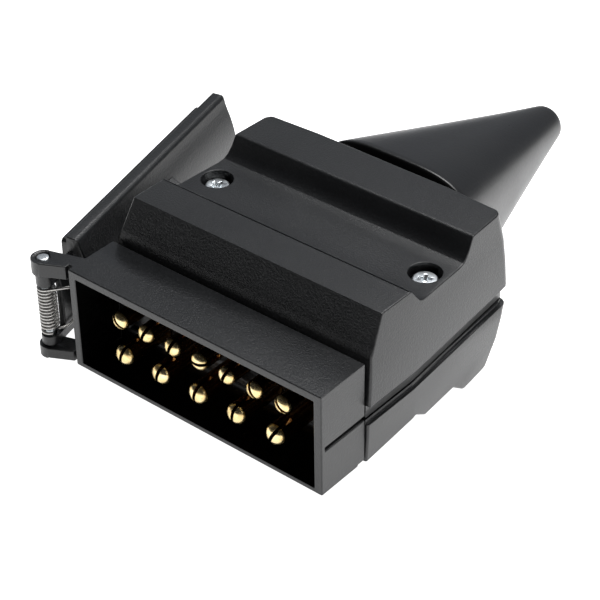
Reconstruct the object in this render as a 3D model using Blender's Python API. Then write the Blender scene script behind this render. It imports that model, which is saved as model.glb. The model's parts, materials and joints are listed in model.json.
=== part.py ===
"""A 12-pin flat trailer plug with a sprung cover, modelled at its real size.

The origin is the middle of the contact block's front face, between the two rows of pins. +Z is up,
the plug mates towards -Y, and the cable leaves towards +Y. Lengths below are in millimetres.
"""

import math

import bmesh
import bpy
from mathutils import Matrix, Vector

MM = 0.001
GAP = 0.3

# Nose: the shroud round the pins
NOSE_HALF_WIDTH = 33.0
NOSE_HALF_HEIGHT = 12.0
RIM_Y = -13.0
MOUTH_HALF_WIDTH = 31.1
MOUTH_TOP = 10.3
MOUTH_BOTTOM = -10.9
LEDGE_Y = -1.5
FLOOR_POCKET = (28.6, -7.4, 8.0)
BLOCK_BACK_Y = 6.0
BLOCK_HALF_WIDTH = 29.5
BLOCK_TOP = 8.6
BLOCK_BOTTOM = -8.2
LOCK_RIB_Y = (3.4, 6.0)
LOCK_RIB_HALF_WIDTH = 30.8
LOCK_RIB_TOP = 10.2
SIDE_SLOT_Z = (-1.5, -0.6)
SIDE_SLOT_DEPTH = 0.8

# Contact pins: (names' row, count, pitch, height, radius, tip)
ROWS = {
    "top": {"count": 7, "pitch": 7.15, "z": 3.06, "radius": 1.97, "tip_y": -11.7, "screw_side": 1},
    "bottom": {"count": 5, "pitch": 10.03, "z": -4.45, "radius": 2.25, "tip_y": -12.7, "screw_side": -1},
}
COLLAR_Y = (3.7, 5.7)
COLLAR_PROUD = 0.6
TERMINAL_RADIUS = 2.3
TERMINAL_END_Y = 17.0
WIRE_HOLE_RADIUS = 1.4
WIRE_HOLE_START_Y = 9.5
TERMINAL_SCREW_Y = 13.4
TERMINAL_SCREW_RADIUS = 0.95
SLOT_TURNS = {"top": (44, -67, -72, -5, -69, 60, 40), "bottom": (-77, -76, -80, -82, -64)}
PIN_SLOT_WIDTH = 0.7
PIN_SLOT_DEPTH = 5.0
RETAINER_Y = (6.3, 8.3)

# Body shells
BODY_FRONT_Y = 0.3
RIDGE_TOP = 20.0
REAR_RIDGE_TOP = 21.2
CHANNEL_Z = 16.4
PARTING_TOP = -1.1
PARTING_BOTTOM = -1.7
PANEL_BOTTOM_Z = 1.8
LOWER_PANEL_TOP_Z = -2.8
REAR_CORNER_RADIUS = 2.2
TAPER_START_Y = 15.0
INNER_ROOF = 13.9
INNER_FLOOR = -9.0
WIDE_CHAMBER = (29.4, 6.3, 20.0)
NARROW_CHAMBER = (27.6, 19.0, 44.6)
HOUSING_SCREW = (27.4, 26.1)
SCREW_WELL_RADIUS = 3.5
SCREW_SEAT_Z = 13.5
SCREW_HEAD_RADIUS = 2.7
SCREW_HEAD_HEIGHT = 1.4
SCREW_SHANK_RADIUS = 1.4
BOSS_RADIUS = 3.4

# Cable clamp
CLAMP_Y = 36.5
CLAMP_SCREW_X = 9.2
CLAMP_BAR_Z = (5.3, 8.3)

# Boot: (y, half width, half height, middle height, squareness)
BOOT_BASE = (52.0, 20.0, 16.3, 3.74, 3.6)
BOOT_TIP = (110.5, 4.35, 4.35, 1.2, 2.0)
BOOT_TAPER_POWER = 1.03
BOOT_NECK = (16.2, 12.5)
BOOT_FLANGE = (18.4, 14.2)
BOOT_FLANGE_Y = (41.6, 44.3)
BOOT_WALL = 2.2
BOOT_HOLE_RADIUS = 3.1

# Hinge and cover. The cover is drawn shut, in front of the rim, then turned open.
HINGE_X = -40.06
HINGE_Y = -12.96
OPEN_ANGLE = -255.7
EAR_RADIUS = 2.6
UPPER_EAR_Z = (8.7, 12.0)
LOWER_EAR_Z = (-12.0, -9.5)
PIN_RADIUS = 1.0
PIN_HEAD_RADIUS = 1.3
KNUCKLE_RADIUS = 2.0
UPPER_KNUCKLE_Z = (5.6, 8.4)
LOWER_KNUCKLE_Z = (-9.2, -7.0)
COVER_BACK = -0.45
COVER_RIDGE = (-6.5, -0.5)
COVER_HINGE_END_X = -32.0
COVER_END_X = 33.2
SEAL_REACH = 1.9
SPRING_Z = (-6.3, 4.8)
SPRING_MEAN_RADIUS = 1.7
SPRING_WIRE = 0.65
SPRING_TURNS = 14
SPRING_HOLE_Y = -7.6
SPRING_LEG_DEPTH = 0.9


def material(name, colour, roughness, metallic):
    """A plain Principled material."""
    made = bpy.data.materials.new(name)
    made.use_nodes = True
    shader = made.node_tree.nodes["Principled BSDF"]
    shader.inputs["Base Color"].default_value = (*colour, 1.0)
    shader.inputs["Roughness"].default_value = roughness
    shader.inputs["Metallic"].default_value = metallic
    return made


def outline_solid(outline, axis, low, high):
    """A straight solid: a closed outline in the plane across an axis, pushed from low to high."""
    places = {
        "X": lambda a, b, c: (c, a, b),
        "Y": lambda a, b, c: (a, c, b),
        "Z": lambda a, b, c: (a, b, c),
    }
    place = places[axis]
    return ring_solid([[place(a, b, end) for a, b in outline] for end in (low, high)])


def ring_solid(rings, closed=False):
    """A solid through rings of points. Its ends are capped, or joined when closed is set."""
    mesh = bmesh.new()
    loops = [[mesh.verts.new(Vector(point) * MM) for point in ring] for ring in rings]
    if closed:
        loops.append(loops[0])
    else:
        mesh.faces.new(loops[0])
        mesh.faces.new(loops[-1])
    for first, second in zip(loops, loops[1:]):
        for i in range(len(first)):
            j = (i + 1) % len(first)
            mesh.faces.new((first[i], first[j], second[j], second[i]))
    bmesh.ops.recalc_face_normals(mesh, faces=mesh.faces)
    if mesh.calc_volume(signed=True) < 0:
        bmesh.ops.reverse_faces(mesh, faces=mesh.faces)
    return mesh


def box(low, high):
    """A box between two corners."""
    outline = [(low[0], low[1]), (high[0], low[1]), (high[0], high[1]), (low[0], high[1])]
    return outline_solid(outline, "Z", low[2], high[2])


def circle(centre, radius, segments=20, start=0.0):
    """The points of a circle in a plane."""
    turns = [start + 2 * math.pi * i / segments for i in range(segments)]
    return [(centre[0] + radius * math.cos(t), centre[1] + radius * math.sin(t)) for t in turns]


def eased(outline, size, steps=3):
    """An outline with each corner eased into a curve that starts the given distance from it."""
    points = []
    for i, place in enumerate(outline):
        corner = Vector(place)
        start = corner + (Vector(outline[i - 1]) - corner).normalized() * size
        end = corner + (Vector(outline[(i + 1) % len(outline)]) - corner).normalized() * size
        for k in range(steps + 1):
            t = k / steps
            points.append(tuple(start * (1 - t) ** 2 + corner * 2 * t * (1 - t) + end * t**2))
    return points


def rod(axis, centre, radius, low, high, segments=20):
    """A round rod along an axis."""
    return outline_solid(circle(centre, radius, segments), axis, low, high)


def turned(profile, centre, axis, segments=20):
    """A turned solid: (radius, place along the axis) pairs, whose ends are capped."""
    places = {"Y": lambda a, b, c: (a, c, b), "Z": lambda a, b, c: (a, b, c)}
    place = places[axis]
    rings = [[place(a, b, along) for a, b in circle(centre, radius, segments)] for radius, along in profile]
    return ring_solid(rings)


def combine(body, tool, operation):
    """Cuts or joins two solids with an exact Boolean, and frees both."""
    pair = []
    for source in (body, tool):
        mesh = bpy.data.meshes.new("working")
        source.to_mesh(mesh)
        source.free()
        pair.append(bpy.data.objects.new("working", mesh))
        bpy.context.scene.collection.objects.link(pair[-1])
    modifier = pair[0].modifiers.new("combine", "BOOLEAN")
    modifier.operation = operation
    modifier.object = pair[1]
    bpy.context.view_layer.update()
    evaluated = pair[0].evaluated_get(bpy.context.evaluated_depsgraph_get())
    result = bmesh.new()
    result.from_mesh(evaluated.to_mesh())
    evaluated.to_mesh_clear()
    for used in pair:
        mesh = used.data
        bpy.data.objects.remove(used)
        bpy.data.meshes.remove(mesh)
    bmesh.ops.dissolve_limit(result, angle_limit=0.001, verts=result.verts, edges=result.edges)
    return result


def cut(body, *tools):
    """Takes each tool out of the body."""
    for tool in tools:
        body = combine(body, tool, "DIFFERENCE")
    return body


def join(body, *tools):
    """Adds each tool to the body."""
    for tool in tools:
        body = combine(body, tool, "UNION")
    return body


def add_object(name, mesh, finish, parent=None, origin=(0.0, 0.0, 0.0)):
    """Stores a solid as a named object. Its points are kept relative to the origin given."""
    data = bpy.data.meshes.new(name)
    bmesh.ops.translate(mesh, vec=-Vector(origin) * MM, verts=mesh.verts)
    bmesh.ops.triangulate(mesh, faces=mesh.faces)
    mesh.to_mesh(data)
    mesh.free()
    data.shade_smooth()
    data.set_sharp_from_angle(angle=math.radians(35))
    data.materials.append(finish)
    made = bpy.data.objects.new(name, data)
    bpy.context.scene.collection.objects.link(made)
    if parent:
        made.parent = parent
    else:
        made.location = Vector(origin) * MM
    return made


def row_places(row):
    """Each pin's number and its (x, z) place, from the hinge side."""
    middle = (row["count"] - 1) / 2
    return [(i + 1, ((i - middle) * row["pitch"], row["z"])) for i in range(row["count"])]


def contact_pin(row, place, turn):
    """A brass pin: slotted dome, shaft, collar, and a terminal barrel with a wire hole."""
    r = row["radius"]
    tip = row["tip_y"]
    profile = [
        (0.4 * r, tip),
        (0.75 * r, tip + 0.19 * r),
        (0.94 * r, tip + 0.42 * r),
        (r, tip + 0.7 * r),
        (r, COLLAR_Y[0]),
        (r + COLLAR_PROUD, COLLAR_Y[0]),
        (r + COLLAR_PROUD, COLLAR_Y[1]),
        (TERMINAL_RADIUS, COLLAR_Y[1]),
        (TERMINAL_RADIUS, TERMINAL_END_Y),
    ]
    pin = turned(profile, place, "Y", 14)
    slot = box((-4, tip - 1, -PIN_SLOT_WIDTH / 2), (4, tip + PIN_SLOT_DEPTH, PIN_SLOT_WIDTH / 2))
    bmesh.ops.rotate(slot, verts=slot.verts, cent=(0, 0, 0), matrix=Matrix.Rotation(turn, 3, "Y"))
    bmesh.ops.translate(slot, verts=slot.verts, vec=Vector((place[0], 0, place[1])) * MM)
    wire_hole = rod("Y", place, WIRE_HOLE_RADIUS, WIRE_HOLE_START_Y, TERMINAL_END_Y + 1, 10)
    far_side = place[1] + row["screw_side"] * (TERMINAL_RADIUS + 1)
    screw_hole = rod(
        "Z",
        (place[0], TERMINAL_SCREW_Y),
        TERMINAL_SCREW_RADIUS + GAP,
        *sorted((place[1], far_side)),
        10,
    )
    return cut(pin, slot, wire_hole, screw_hole)


def terminal_screw(row, place):
    """A slotted grub screw that stands a little proud of its terminal barrel."""
    side = row["screw_side"]
    inner = place[1] + side * 0.5
    outer = place[1] + side * (TERMINAL_RADIUS + 0.6)
    centre = (place[0], TERMINAL_SCREW_Y)
    screw = rod("Z", centre, TERMINAL_SCREW_RADIUS, *sorted((inner, outer)), 10)
    slot_ends = sorted((outer - side * 0.5, outer + side))
    slot = box(
        (centre[0] - 2, centre[1] - 0.2, slot_ends[0]),
        (centre[0] + 2, centre[1] + 0.2, slot_ends[1]),
    )
    return cut(screw, slot)


def ear(z_range):
    """One hinge ear: a round end on the hinge axis, run into the nose's side."""
    centre = (HINGE_X, HINGE_Y)
    arc = [math.radians(105 + 16 * i) for i in range(13)]
    outline = [(centre[0] + EAR_RADIUS * math.cos(t), centre[1] + EAR_RADIUS * math.sin(t)) for t in arc]
    outline += [
        (-34.0, RIM_Y + 0.3),
        (-34.0, RIM_Y + 1.4),
        (-32.0, RIM_Y + 1.4),
        (-32.0, RIM_Y + 5.4),
    ]
    return outline_solid(outline, "Z", *z_range)


def contact_carrier():
    """The nose: shroud, contact block with its pin holes, hinge ears and side slots."""
    nose = box(
        (-NOSE_HALF_WIDTH, RIM_Y, -NOSE_HALF_HEIGHT),
        (NOSE_HALF_WIDTH, 0.0, NOSE_HALF_HEIGHT),
    )
    block = box((-BLOCK_HALF_WIDTH, -1.0, BLOCK_BOTTOM), (BLOCK_HALF_WIDTH, BLOCK_BACK_Y, BLOCK_TOP))
    lock_rib = box(
        (-LOCK_RIB_HALF_WIDTH, LOCK_RIB_Y[0], BLOCK_BOTTOM + 1),
        (LOCK_RIB_HALF_WIDTH, LOCK_RIB_Y[1], LOCK_RIB_TOP),
    )
    wall_back = box((-30.2, -1.0, BLOCK_BOTTOM + 0.4), (30.2, 1.2, BLOCK_TOP - 0.4))
    body = join(nose, block, lock_rib, wall_back, ear(UPPER_EAR_Z), ear(LOWER_EAR_Z))
    mouth = box(
        (-MOUTH_HALF_WIDTH, RIM_Y - 1, MOUTH_BOTTOM),
        (MOUTH_HALF_WIDTH, LEDGE_Y, MOUTH_TOP),
    )
    pocket_half, pocket_bottom, pocket_top = FLOOR_POCKET
    floor_pocket = box((-pocket_half, LEDGE_Y - 1, pocket_bottom), (pocket_half, 0.0, pocket_top))
    body = cut(body, mouth, floor_pocket)
    lip_room = box((-40, -2.0, -13.0), (40, 0.2, -11.5))
    body = cut(body, lip_room)
    for side in (-1, 1):
        edges = sorted((side * (NOSE_HALF_WIDTH - SIDE_SLOT_DEPTH), side * (NOSE_HALF_WIDTH + 0.7)))
        body = cut(
            body,
            box((edges[0], RIM_Y + 1.0, SIDE_SLOT_Z[0]), (edges[1], 1.0, SIDE_SLOT_Z[1])),
        )
    hinge = (HINGE_X, HINGE_Y)
    spring_hole_centre = (SPRING_HOLE_Y, SPRING_Z[1])
    body = cut(
        body,
        rod("X", spring_hole_centre, 0.6, -NOSE_HALF_WIDTH - 1, -NOSE_HALF_WIDTH + 1.3, 10),
        rod("Z", hinge, PIN_RADIUS + GAP, -13, 13, 16),
        rod("Z", hinge, PIN_HEAD_RADIUS + GAP, 10.9, 13, 16),
        rod("Z", hinge, PIN_HEAD_RADIUS + GAP, -13, -10.9, 16),
    )
    for row in ROWS.values():
        for _, place in row_places(row):
            hole = turned(
                [
                    (row["radius"] + GAP, -1.0),
                    (row["radius"] + GAP, COLLAR_Y[0] - GAP),
                    (row["radius"] + COLLAR_PROUD + GAP, COLLAR_Y[0] - GAP),
                    (row["radius"] + COLLAR_PROUD + GAP, BLOCK_BACK_Y + 1),
                ],
                place,
                "Y",
                14,
            )
            body = cut(body, hole)
    return body


def retainer_plate():
    """The plate behind the contact block, which traps the pins' collars."""
    plate = box((-27.5, RETAINER_Y[0], -7.8), (27.5, RETAINER_Y[1], 7.2))
    for row in ROWS.values():
        for _, place in row_places(row):
            plate = cut(
                plate,
                rod("Y", place, TERMINAL_RADIUS + GAP, RETAINER_Y[0] - 1, RETAINER_Y[1] + 1, 14),
            )
    return plate


def plan_ring(z, front_half, rear_half, rear_y):
    """The body's outline at one height: straight sides, a taper, rounded rear corners, a crowned rear."""
    radius = REAR_CORNER_RADIUS
    corner_y = rear_y - 0.8 - radius
    right = [(front_half, -6.0), (front_half, TAPER_START_Y), (rear_half, corner_y)]
    for i in range(1, 5):
        turn = math.radians(90 * i / 4)
        right.append((
            rear_half - radius + radius * math.cos(turn),
            corner_y + radius * math.sin(turn),
        ))
    right.append((rear_half * 0.55, rear_y - 0.2))
    left = [(-x, y) for x, y in reversed(right)]
    return [(x, y, z) for x, y in right + left]


def upper_outside():
    """The outside of the upper shell: side bands, drafted panels, ridges and the channel."""
    block = ring_solid([
        plan_ring(PARTING_TOP, 33.0, 30.3, 51.2),
        plan_ring(PANEL_BOTTOM_Z, 33.0, 30.3, 51.2),
        plan_ring(PANEL_BOTTOM_Z, 34.0, 31.3, 51.7),
        plan_ring(8.0, 33.6, 31.2, 51.1),
        plan_ring(14.0, 32.9, 31.1, 50.1),
        plan_ring(25.0, 31.7, 30.8, 47.0),
    ])
    side_profile = [
        (BODY_FRONT_Y, -5.0),
        (BODY_FRONT_Y, PANEL_BOTTOM_Z),
        (1.75, 12.2),
        (6.1, RIDGE_TOP),
        (15.3, RIDGE_TOP),
        (16.7, RIDGE_TOP - 2.0),
        (17.6, CHANNEL_Z + 0.5),
        (18.9, CHANNEL_Z),
        (31.2, CHANNEL_Z),
        (32.8, CHANNEL_Z + 0.25),
        (33.9, CHANNEL_Z + 1.0),
        (35.0, CHANNEL_Z + 2.4),
        (36.4, REAR_RIDGE_TOP),
        (60.0, REAR_RIDGE_TOP),
        (60.0, -5.0),
    ]
    return combine(block, outline_solid(side_profile, "X", -40, 40), "INTERSECT")


def lower_outside():
    """The outside of the lower shell: side bands, drafted panels and a stepped underside."""
    block = ring_solid([
        plan_ring(-22.0, 32.7, 30.0, 44.0),
        plan_ring(-11.0, 33.3, 30.7, 49.8),
        plan_ring(-6.0, 33.6, 31.0, 51.0),
        plan_ring(LOWER_PANEL_TOP_Z, 33.7, 31.1, 51.6),
        plan_ring(LOWER_PANEL_TOP_Z, 33.0, 30.3, 51.2),
        plan_ring(PARTING_BOTTOM, 33.0, 30.3, 51.2),
    ])
    side_profile = [
        (BODY_FRONT_Y, 5.0),
        (60.0, 5.0),
        (60.0, -17.0),
        (35.6, -17.0),
        (31.0, -13.4),
        (20.1, -13.2),
        (16.6, -10.8),
        (BODY_FRONT_Y, -12.4),
    ]
    shell = combine(block, outline_solid(side_profile, "X", -40, 40), "INTERSECT")
    lip = box((-32.4, -1.7, -12.4), (32.4, 1.0, -11.8))
    return join(shell, lip)


def boot_ring(y, half_width, half_height, middle, squareness, points=28):
    """One cross-section of the boot, between an ellipse and a rounded oblong."""
    ring = []
    for i in range(points):
        turn = 2 * math.pi * i / points
        across, up = math.cos(turn), math.sin(turn)
        power = 2 / squareness
        x = half_width * math.copysign(abs(across) ** power, across)
        z = half_height * math.copysign(abs(up) ** power, up)
        ring.append((x, y, middle + z))
    return ring


def rear_opening():
    """The oblong hole in the rear wall that the boot's neck fills."""
    size = (BOOT_NECK[0] + GAP + 0.1, BOOT_NECK[1] + GAP + 0.1, BOOT_BASE[3], BOOT_BASE[4])
    return ring_solid([boot_ring(40.0, *size), boot_ring(60.0, *size)])


def shell_chambers():
    """The hollows inside the shells, for the contact block, the wires and the boot's flange."""
    wide = box(
        (-WIDE_CHAMBER[0], WIDE_CHAMBER[1], INNER_FLOOR),
        (WIDE_CHAMBER[0], WIDE_CHAMBER[2], INNER_ROOF),
    )
    narrow = box(
        (-NARROW_CHAMBER[0], NARROW_CHAMBER[1], INNER_FLOOR),
        (NARROW_CHAMBER[0], NARROW_CHAMBER[2] - 0.02, INNER_ROOF),
    )
    rear = box((-27.4, 37.0, -13.8), (27.4, NARROW_CHAMBER[2], 18.5))
    doorway = box((-29.8, -3.0, -8.5), (29.8, 7.0, 8.9))
    door_face = box((-30.5, -3.0, -8.2), (30.5, 1.5, 8.6))
    rib_slot = box((-31.1, 3.1, -7.6), (31.1, 7.2, 10.5))
    return wide, narrow, rear, doorway, door_face, rib_slot


def upper_shell():
    """The upper shell: outside, chambers, screw wells and bosses."""
    shell = cut(upper_outside(), *shell_chambers())
    for side in (-1, 1):
        centre = (side * HOUSING_SCREW[0], HOUSING_SCREW[1])
        shell = join(shell, rod("Z", centre, BOSS_RADIUS, PARTING_TOP, 15.0))
        shell = cut(
            shell,
            rod("Z", centre, SCREW_WELL_RADIUS, SCREW_SEAT_Z, 25.0, 24),
            rod("Z", centre, SCREW_SHANK_RADIUS + GAP, PARTING_TOP - 1, 20.0, 14),
        )
    return cut(shell, rear_opening())


def lower_shell():
    """The lower shell: outside, chambers, screw bosses, clamp posts and the cable saddle."""
    shell = cut(lower_outside(), *shell_chambers())
    for side in (-1, 1):
        boss = (side * HOUSING_SCREW[0], HOUSING_SCREW[1])
        shell = join(shell, rod("Z", boss, BOSS_RADIUS, -10.0, PARTING_BOTTOM))
        shell = cut(shell, rod("Z", boss, SCREW_SHANK_RADIUS + GAP, -9.6, 5.0, 14))
    shell = join(shell, box((-6.4, CLAMP_Y - 2.0, -10.0), (6.4, CLAMP_Y + 2.0, -1.2)))
    saddle = rod("Y", (0.0, 3.8), 5.6, CLAMP_Y - 5, CLAMP_Y + 5, 24)
    shell = cut(shell, saddle, rear_opening())
    for side in (-1, 1):
        post = (side * CLAMP_SCREW_X, CLAMP_Y)
        shell = join(shell, rod("Z", post, 2.6, -14.5, CLAMP_BAR_Z[0] - GAP, 16))
        shell = cut(shell, rod("Z", post, 1.4, -5.0, 10.0, 12))
    return shell


def pan_screw(centre, head_radius, head_height, shank_radius, seat_z, end_z, recess):
    """A pan-head screw with a cross recess, pointing down."""
    profile = [
        (0.45 * shank_radius, end_z),
        (shank_radius, end_z + 1.6 * shank_radius),
        (shank_radius, seat_z),
        (head_radius, seat_z),
        (head_radius, seat_z + 0.55 * head_height),
        (0.82 * head_radius, seat_z + 0.88 * head_height),
        (0.45 * head_radius, seat_z + head_height),
    ]
    screw = turned(profile, centre, "Z", 18)
    half = recess / 2
    long = 0.62 * head_radius
    bottom = seat_z + 0.35 * head_height
    top = seat_z + 2 * head_height
    return cut(
        screw,
        box((centre[0] - long, centre[1] - half, bottom), (centre[0] + long, centre[1] + half, top)),
        box((centre[0] - half, centre[1] - long, bottom), (centre[0] + half, centre[1] + long, top)),
    )


def cable_clamp():
    """The bar that grips the cable, arched underneath, with two screw holes."""
    low, high = CLAMP_BAR_Z
    outline = [(-12.4, low), (-6.4, low)]
    outline += [(x, low + 1.6 * (1 - (x / 5.6) ** 2)) for x in (-5.6, -4.2, -2.4, 0.0, 2.4, 4.2, 5.6)]
    outline += [(6.4, low), (12.4, low), (12.4, high - 0.6), (11.8, high), (-11.8, high), (-12.4, high - 0.6)]
    bar = outline_solid(outline, "Y", CLAMP_Y - 2.4, CLAMP_Y + 2.4)
    for side in (-1, 1):
        bar = cut(bar, rod("Z", (side * CLAMP_SCREW_X, CLAMP_Y), 1.4, low - 1, high + 1, 12))
    return bar


def boot():
    """The rubber boot: inner flange, neck, lip, then a long taper to the cable's hole."""
    base_y, base_half_width, base_half_height, base_z, base_square = BOOT_BASE
    tip_y, tip_radius, _, tip_z, tip_square = BOOT_TIP
    outer = [
        boot_ring(BOOT_FLANGE_Y[0], *BOOT_FLANGE, base_z, base_square),
        boot_ring(BOOT_FLANGE_Y[1], *BOOT_FLANGE, base_z, base_square),
        boot_ring(BOOT_FLANGE_Y[1], *BOOT_NECK, base_z, base_square),
        boot_ring(base_y, *BOOT_NECK, base_z, base_square),
    ]
    inner = []
    steps = 9
    for i in range(steps + 1):
        along = i / steps
        blend = along**BOOT_TAPER_POWER
        half_width = base_half_width + (tip_radius - base_half_width) * blend
        half_height = base_half_height + (tip_radius - base_half_height) * blend
        middle = base_z + (tip_z - base_z) * blend
        square = base_square + (tip_square - base_square) * blend
        y = base_y + (tip_y - base_y) * along
        outer.append(boot_ring(y, half_width, half_height, middle, square))
        thinning = BOOT_WALL + 1.6 * (1 - along)
        inner.append(boot_ring(
            y,
            max(half_width - thinning, BOOT_HOLE_RADIUS),
            max(half_height - thinning, BOOT_HOLE_RADIUS),
            middle,
            square,
        ))
    outer.append(boot_ring(tip_y + 0.5, tip_radius - 0.35, tip_radius - 0.35, tip_z, tip_square))
    inner.append(boot_ring(tip_y + 0.5, BOOT_HOLE_RADIUS, BOOT_HOLE_RADIUS, tip_z, tip_square))
    inner[0] = boot_ring(base_y, BOOT_NECK[0] - BOOT_WALL, BOOT_NECK[1] - BOOT_WALL, base_z, base_square)
    mouth = boot_ring(
        BOOT_FLANGE_Y[0],
        BOOT_NECK[0] - BOOT_WALL,
        BOOT_NECK[1] - BOOT_WALL,
        base_z,
        base_square,
    )
    return ring_solid(outer + inner[::-1] + [mouth], closed=True)


def hinge_pin():
    """The hinge pin, with a low riveted head at each end."""
    profile = [
        (1.1, -12.1),
        (PIN_HEAD_RADIUS, -11.9),
        (PIN_HEAD_RADIUS, -11.2),
        (PIN_RADIUS, -11.2),
        (PIN_RADIUS, 11.2),
        (PIN_HEAD_RADIUS, 11.2),
        (PIN_HEAD_RADIUS, 11.9),
        (1.1, 12.1),
    ]
    return turned(profile, (HINGE_X, HINGE_Y), "Z", 16)


def sweep(path, radius, sides=5):
    """A round wire along a list of points."""
    points = [Vector(point) for point in path]
    rings = []
    normal = Vector((0.0, 0.0, 1.0))
    for i, point in enumerate(points):
        ahead = points[min(i + 1, len(points) - 1)]
        behind = points[max(i - 1, 0)]
        tangent = (ahead - behind).normalized()
        normal = (normal - tangent * normal.dot(tangent)).normalized()
        side = tangent.cross(normal)
        turns = [2 * math.pi * k / sides for k in range(sides)]
        rings.append([point + radius * (normal * math.cos(t) + side * math.sin(t)) for t in turns])
    return ring_solid(rings)


def hinge_spring():
    """The torsion spring: a coil, one leg held in the nose's side and one bearing on the cover's web."""
    low, high = SPRING_Z
    per_turn = 10
    opened = math.radians(OPEN_ANGLE + 360)
    coil_start = math.radians(54)
    coil_end = math.radians(-42 + 360 * SPRING_TURNS)
    web_leg = []
    for along, across in ((7.0, -2.65), (3.4, -2.65), (2.0, -2.3)):
        web_leg.append((
            HINGE_X + along * math.cos(opened) - across * math.sin(opened),
            HINGE_Y + along * math.sin(opened) + across * math.cos(opened),
            low,
        ))
    coil = []
    steps = round((coil_end - coil_start) / (2 * math.pi) * per_turn)
    for i in range(steps + 1):
        turn = coil_start + (coil_end - coil_start) * i / steps
        coil.append((
            HINGE_X + SPRING_MEAN_RADIUS * math.cos(turn),
            HINGE_Y + SPRING_MEAN_RADIUS * math.sin(turn),
            low + (high - low) * i / steps,
        ))
    nose_leg = [
        (-34.3, SPRING_HOLE_Y - 0.6, high),
        (-33.7, SPRING_HOLE_Y, high),
        (-NOSE_HALF_WIDTH + SPRING_LEG_DEPTH, SPRING_HOLE_Y, high),
    ]
    return sweep(web_leg + coil + nose_leg, SPRING_WIRE / 2)


def cover_outside():
    """The cover's outside: a bowed V across its height, with its lower hinge corner cut away."""
    profile = [
        (COVER_BACK, -12.0),
        (-2.4, -12.0),
        (-3.4, -11.5),
        (-4.0, -10.4),
        COVER_RIDGE,
        (-5.8, 3.7),
        (-5.3, 5.6),
        (-4.75, 7.3),
        (-4.15, 8.8),
        (-3.7, 10.2),
        (-3.4, 11.4),
        (-2.9, 11.9),
        (-2.3, 12.1),
        (COVER_BACK, 12.1),
    ]
    profile = [(y + RIM_Y, z) for y, z in profile]
    block = outline_solid(profile, "X", -36.0, COVER_END_X)
    ends = [
        (-29.0, -13.0),
        (-29.0, -10.7),
        (-30.1, -9.3),
        (-31.2, -7.7),
        (-31.8, -6.0),
        (COVER_HINGE_END_X, -4.0),
        (COVER_HINGE_END_X, 13.0),
        (40.0, 13.0),
        (40.0, -13.0),
    ]
    return combine(block, outline_solid(ends, "Y", -30, 0), "INTERSECT")


def cover_web():
    """The web and two knuckles that carry the cover on the hinge pin, with a notch for the spring."""
    outline = [
        (HINGE_X, LOWER_KNUCKLE_Z[0]),
        (-30.8, LOWER_KNUCKLE_Z[0]),
        (-30.8, UPPER_KNUCKLE_Z[1]),
        (HINGE_X, UPPER_KNUCKLE_Z[1]),
        (HINGE_X, UPPER_KNUCKLE_Z[0]),
        (-37.8, UPPER_KNUCKLE_Z[0]),
        (-37.5, 4.0),
        (-37.4, 0.0),
        (-37.4, -4.6),
        (-37.6, LOWER_KNUCKLE_Z[1]),
        (HINGE_X, LOWER_KNUCKLE_Z[1]),
    ]
    web = outline_solid(outline, "Y", HINGE_Y - KNUCKLE_RADIUS, RIM_Y + COVER_BACK)
    centre = (HINGE_X, HINGE_Y)
    return join(
        web,
        rod("Z", centre, KNUCKLE_RADIUS, *UPPER_KNUCKLE_Z),
        rod("Z", centre, KNUCKLE_RADIUS, *LOWER_KNUCKLE_Z),
    )


def hook_block():
    """The hook in the middle of the cover: a tapered block with a keyhole down through it."""
    side_outline = [(-3.0, 7.3), (-13.2, 3.8), (-13.2, -6.8), (-3.0, -9.3)]
    side_outline = [(y + RIM_Y, z) for y, z in side_outline]
    block = outline_solid(side_outline, "X", -6.0, 6.0)
    back, front = RIM_Y - 2.0, RIM_Y - 14.0
    taper = [(-6.2, back), (-2.2, front), (2.2, front), (6.2, back)]
    block = combine(block, outline_solid(taper, "Z", -15, 15), "INTERSECT")
    keyhole_y = RIM_Y - 9.0
    hole = rod("Z", (0.0, keyhole_y), 1.9, -15, 15, 20)
    slot = box((-1.55, RIM_Y - 16, -15), (1.55, keyhole_y, 15))
    return cut(block, hole, slot)


def seal_outline(inset):
    """The outline, across the cover, of the recess that holds the seal, drawn in by an inset."""
    low, high = -9.9 + inset, 10.5 - inset
    hinge_side, far_side = -31.0 + inset, 30.3 - inset
    return [(hinge_side, -6.4), (hinge_side + 2.4, low), (far_side, low), (far_side, high), (hinge_side, high)]


def cover():
    """The sprung cover: outside, web, knuckles, hook, latch finger, recess and window."""
    body = join(cover_outside(), cover_web(), hook_block())
    recess = outline_solid(seal_outline(0.0), "Y", RIM_Y - 2.4, RIM_Y + 1.0)
    finger = box((COVER_END_X - 0.6, RIM_Y - 2.6, -5.8), (COVER_END_X + 1.0, RIM_Y + 3.3, -1.8))
    finger_gap = box((COVER_END_X - 0.7, RIM_Y + COVER_BACK + 0.01, -7.0), (33.4, RIM_Y + 5, -1.0))
    bump = outline_solid(
        [(RIM_Y + 1.9, -4.9), (RIM_Y + 3.3, -4.9), (RIM_Y + 3.3, -3.0), (RIM_Y + 1.9, -3.0)],
        "X",
        COVER_END_X + 0.5,
        COVER_END_X + 1.4,
    )
    window = box((31.8, RIM_Y - 3.9, -1.6), (35.0, RIM_Y + 1.0, 4.4))
    body = join(body, finger, bump)
    hinge = (HINGE_X, HINGE_Y)
    return cut(body, recess, finger_gap, window, rod("Z", hinge, PIN_RADIUS + GAP, -15, 15, 16))


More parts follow.
